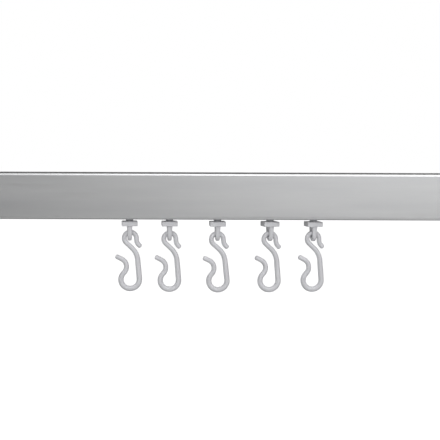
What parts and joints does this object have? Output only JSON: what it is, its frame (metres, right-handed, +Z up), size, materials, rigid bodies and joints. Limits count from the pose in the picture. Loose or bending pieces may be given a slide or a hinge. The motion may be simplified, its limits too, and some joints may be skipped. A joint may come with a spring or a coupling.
{
  "type": "curtain rail with gliders and hooks",
  "caption": "Ceiling-mounted aluminium curtain rail: gliders that slide in its underside carry swinging S-hooks, between clamped end stops, under quarter-turn ceiling clips.",
  "frame": {"origin": "in the ceiling plane that the clips are screwed to, over the middle of the rail's length and depth", "axes": "+X along the rail, to the right as seen from the room; -Y towards the room; +Z up into the ceiling"},
  "size_m": [0.4038, 0.014, 0.0948],
  "materials": {
    "anodised_aluminium": "satin silver anodised, with fine lines along its length",
    "white_plastic": "semi-gloss moulding, cool white",
    "grey_plastic": "fine matt moulding, aluminium grey",
    "zinc_steel": "bright zinc plate"
  },
  "bodies": {
    "track": {"rail": "anodised_aluminium", "end_cap_left": "grey_plastic", "end_cap_right": "grey_plastic", "end_stop_left": "white_plastic", "end_stop_right": "white_plastic", "stop_screw_left": "zinc_steel", "stop_screw_right": "zinc_steel", "clip_plate_left": "zinc_steel", "clip_plate_right": "zinc_steel", "clip_rivet_left": "zinc_steel", "clip_rivet_right": "zinc_steel", "ceiling_screw_left_1": "zinc_steel", "ceiling_screw_left_2": "zinc_steel", "ceiling_screw_right_1": "zinc_steel", "ceiling_screw_right_2": "zinc_steel"},
    "cam_left": {"clip_cam_left": "grey_plastic"},
    "cam_right": {"clip_cam_right": "grey_plastic"},
    "runner_1": {"glider_1": "white_plastic"},
    "runner_2": {"glider_2": "white_plastic"},
    "runner_3": {"glider_3": "white_plastic"},
    "runner_4": {"glider_4": "white_plastic"},
    "runner_5": {"glider_5": "white_plastic"},
    "hanger_1": {"hook_1": "white_plastic"},
    "hanger_2": {"hook_2": "white_plastic"},
    "hanger_3": {"hook_3": "white_plastic"},
    "hanger_4": {"hook_4": "white_plastic"},
    "hanger_5": {"hook_5": "white_plastic"}
  },
  "joints": [
    {"name": "glider_3_slide", "type": "slide", "parent": "track", "child": "runner_3", "axis": [1, 0, 0], "range_m": [-0.0415, 0.0415]},
    {"name": "glider_2_slide", "type": "slide", "parent": "runner_3", "child": "runner_2", "axis": [1, 0, 0], "range_m": [-0.0415, 0.0113]},
    {"name": "glider_1_slide", "type": "slide", "parent": "runner_2", "child": "runner_1", "axis": [1, 0, 0], "range_m": [-0.0415, 0.0068]},
    {"name": "glider_4_slide", "type": "slide", "parent": "runner_3", "child": "runner_4", "axis": [1, 0, 0], "range_m": [-0.0138, 0.0415]},
    {"name": "glider_5_slide", "type": "slide", "parent": "runner_4", "child": "runner_5", "axis": [1, 0, 0], "range_m": [-0.0087, 0.0415]},
    {"name": "hook_1_swing", "type": "hinge", "parent": "runner_1", "child": "hanger_1", "pos_m": [-0.0505, 0, -0.03845], "axis": [0.9938, 0.1115, 0], "range_deg": [-115, 115]},
    {"name": "hook_2_swing", "type": "hinge", "parent": "runner_2", "child": "hanger_2", "pos_m": [-0.0282, 0, -0.03845], "axis": [0.9938, 0.1115, 0], "range_deg": [-115, 115]},
    {"name": "hook_3_swing", "type": "hinge", "parent": "runner_3", "child": "hanger_3", "pos_m": [-0.0014, 0, -0.03845], "axis": [0.9938, 0.1115, 0], "range_deg": [-115, 115]},
    {"name": "hook_4_swing", "type": "hinge", "parent": "runner_4", "child": "hanger_4", "pos_m": [0.0279, 0, -0.03845], "axis": [0.9938, 0.1115, 0], "range_deg": [-115, 115]},
    {"name": "hook_5_swing", "type": "hinge", "parent": "runner_5", "child": "hanger_5", "pos_m": [0.0521, 0, -0.03845], "axis": [0.9938, 0.1115, 0], "range_deg": [-115, 115]},
    {"name": "cam_left_turn", "type": "hinge", "parent": "track", "child": "cam_left", "pos_m": [-0.15, 0, -0.0031], "axis": [0, 0, 1], "range_deg": [0, 90]},
    {"name": "cam_right_turn", "type": "hinge", "parent": "track", "child": "cam_right", "pos_m": [0.15, 0, -0.0031], "axis": [0, 0, 1], "range_deg": [0, 90]}
  ]
}
